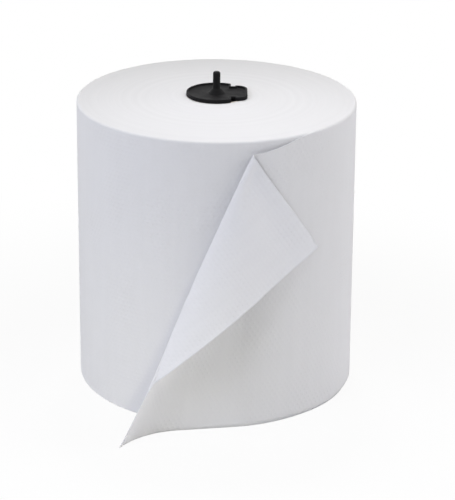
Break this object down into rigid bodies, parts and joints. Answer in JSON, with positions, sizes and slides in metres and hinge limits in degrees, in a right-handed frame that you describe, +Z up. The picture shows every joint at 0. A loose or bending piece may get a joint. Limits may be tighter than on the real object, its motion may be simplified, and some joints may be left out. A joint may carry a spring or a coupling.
{
  "type": "paper towel roll",
  "caption": "Hard-wound paper towel roll standing on its end, with a loose folded outer turn, a cardboard core, and plastic end plugs with a pin above and a socket below.",
  "frame": {"origin": "on the roll's axis, in the plane of the end that it stands on, at the mouth of the lower plug's socket", "axes": "+Z up along the roll's axis, out through the pin; the loose tail and its folded corner are at the front, towards -Y, and +X is to the right of the picture's view"},
  "size_m": [0.1914, 0.2303, 0.2188],
  "materials": {
    "paper": "soft white crepe paper, lightly embossed across the web",
    "core_board": "plain spiral-wound core board",
    "plug_plastic": "moulded black plastic, satin"
  },
  "bodies": {
    "root": {"towel_web": "paper", "core_tube": "core_board", "pin_plug": "plug_plastic", "socket_plug": "plug_plastic"}
  },
  "joints": []
}
